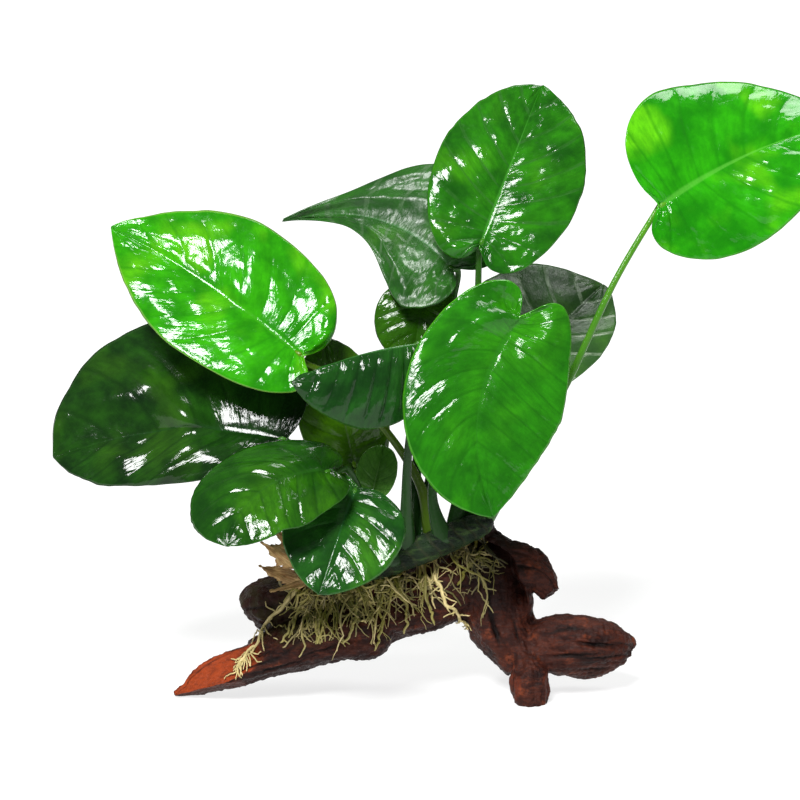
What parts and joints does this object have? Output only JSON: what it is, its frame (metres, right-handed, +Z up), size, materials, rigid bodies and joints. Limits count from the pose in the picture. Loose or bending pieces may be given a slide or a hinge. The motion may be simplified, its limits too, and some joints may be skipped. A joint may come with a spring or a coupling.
{
  "type": "anubias plant on driftwood",
  "caption": "Broad-leaved anubias with glossy heart-shaped leaves, its rhizome and roots grown over a forked piece of dark driftwood; stands on the floor of an aquarium.",
  "frame": {"origin": "on the surface the driftwood rests on, below the middle of the plant's bounding box", "axes": "+X to the right along the driftwood, +Y to the back, +Z up; the leaves' upper sides mostly face -Y"},
  "size_m": [0.3551, 0.14, 0.2635],
  "materials": {
    "wood": "wet, dark, coarse grained",
    "rhizome": "waxy living stem",
    "stalk": "smooth living leaf stalk",
    "leaf": "wet, glossy living leaf",
    "leaf_bright": "wet, glossy living leaf",
    "leaf_dark": "wet, glossy living leaf",
    "leaf_olive": "wet, glossy living leaf",
    "root": "pale living root",
    "dry_sheath": "dry and papery"
  },
  "bodies": {
    "root": {"wood_heart": "wood", "wood_left_prong": "wood", "wood_left_stub": "wood", "wood_right_trunk": "wood", "wood_curled_lip": "wood", "wood_right_burl": "wood", "wood_front_foot": "wood", "wood_back_foot": "wood", "rhizome": "rhizome", "leaf_top_blade": "leaf", "leaf_top_stalk": "stalk", "leaf_far_right_blade": "leaf_bright", "leaf_far_right_stalk": "stalk", "leaf_left_bright_blade": "leaf_bright", "leaf_left_bright_stalk": "stalk", "leaf_left_dark_blade": "leaf_dark", "leaf_left_dark_stalk": "stalk", "leaf_low_left_blade": "leaf_dark", "leaf_low_left_stalk": "stalk", "leaf_low_front_blade": "leaf_dark", "leaf_low_front_stalk": "stalk", "leaf_folded_blade": "leaf_dark", "leaf_folded_stalk": "stalk", "leaf_middle_back_blade": "leaf_olive", "leaf_middle_back_stalk": "stalk", "leaf_front_large_blade": "leaf", "leaf_front_large_stalk": "stalk", "leaf_right_back_blade": "leaf_olive", "leaf_right_back_stalk": "stalk", "leaf_back_twisted_blade": "leaf", "leaf_back_twisted_stalk": "stalk", "leaf_back_small_blade": "leaf_dark", "leaf_back_small_stalk": "stalk", "leaf_young_blade": "leaf_olive", "leaf_young_stalk": "stalk", "dry_sheath_upper": "dry_sheath", "dry_sheath_lower": "dry_sheath", "root_left_long": "root", "root_left_branch": "root", "root_left_inner": "root", "root_middle_left": "root", "root_middle": "root", "root_middle_right": "root", "root_right_inner": "root", "root_right_pale": "root", "root_right_long": "root"}
  },
  "joints": []
}
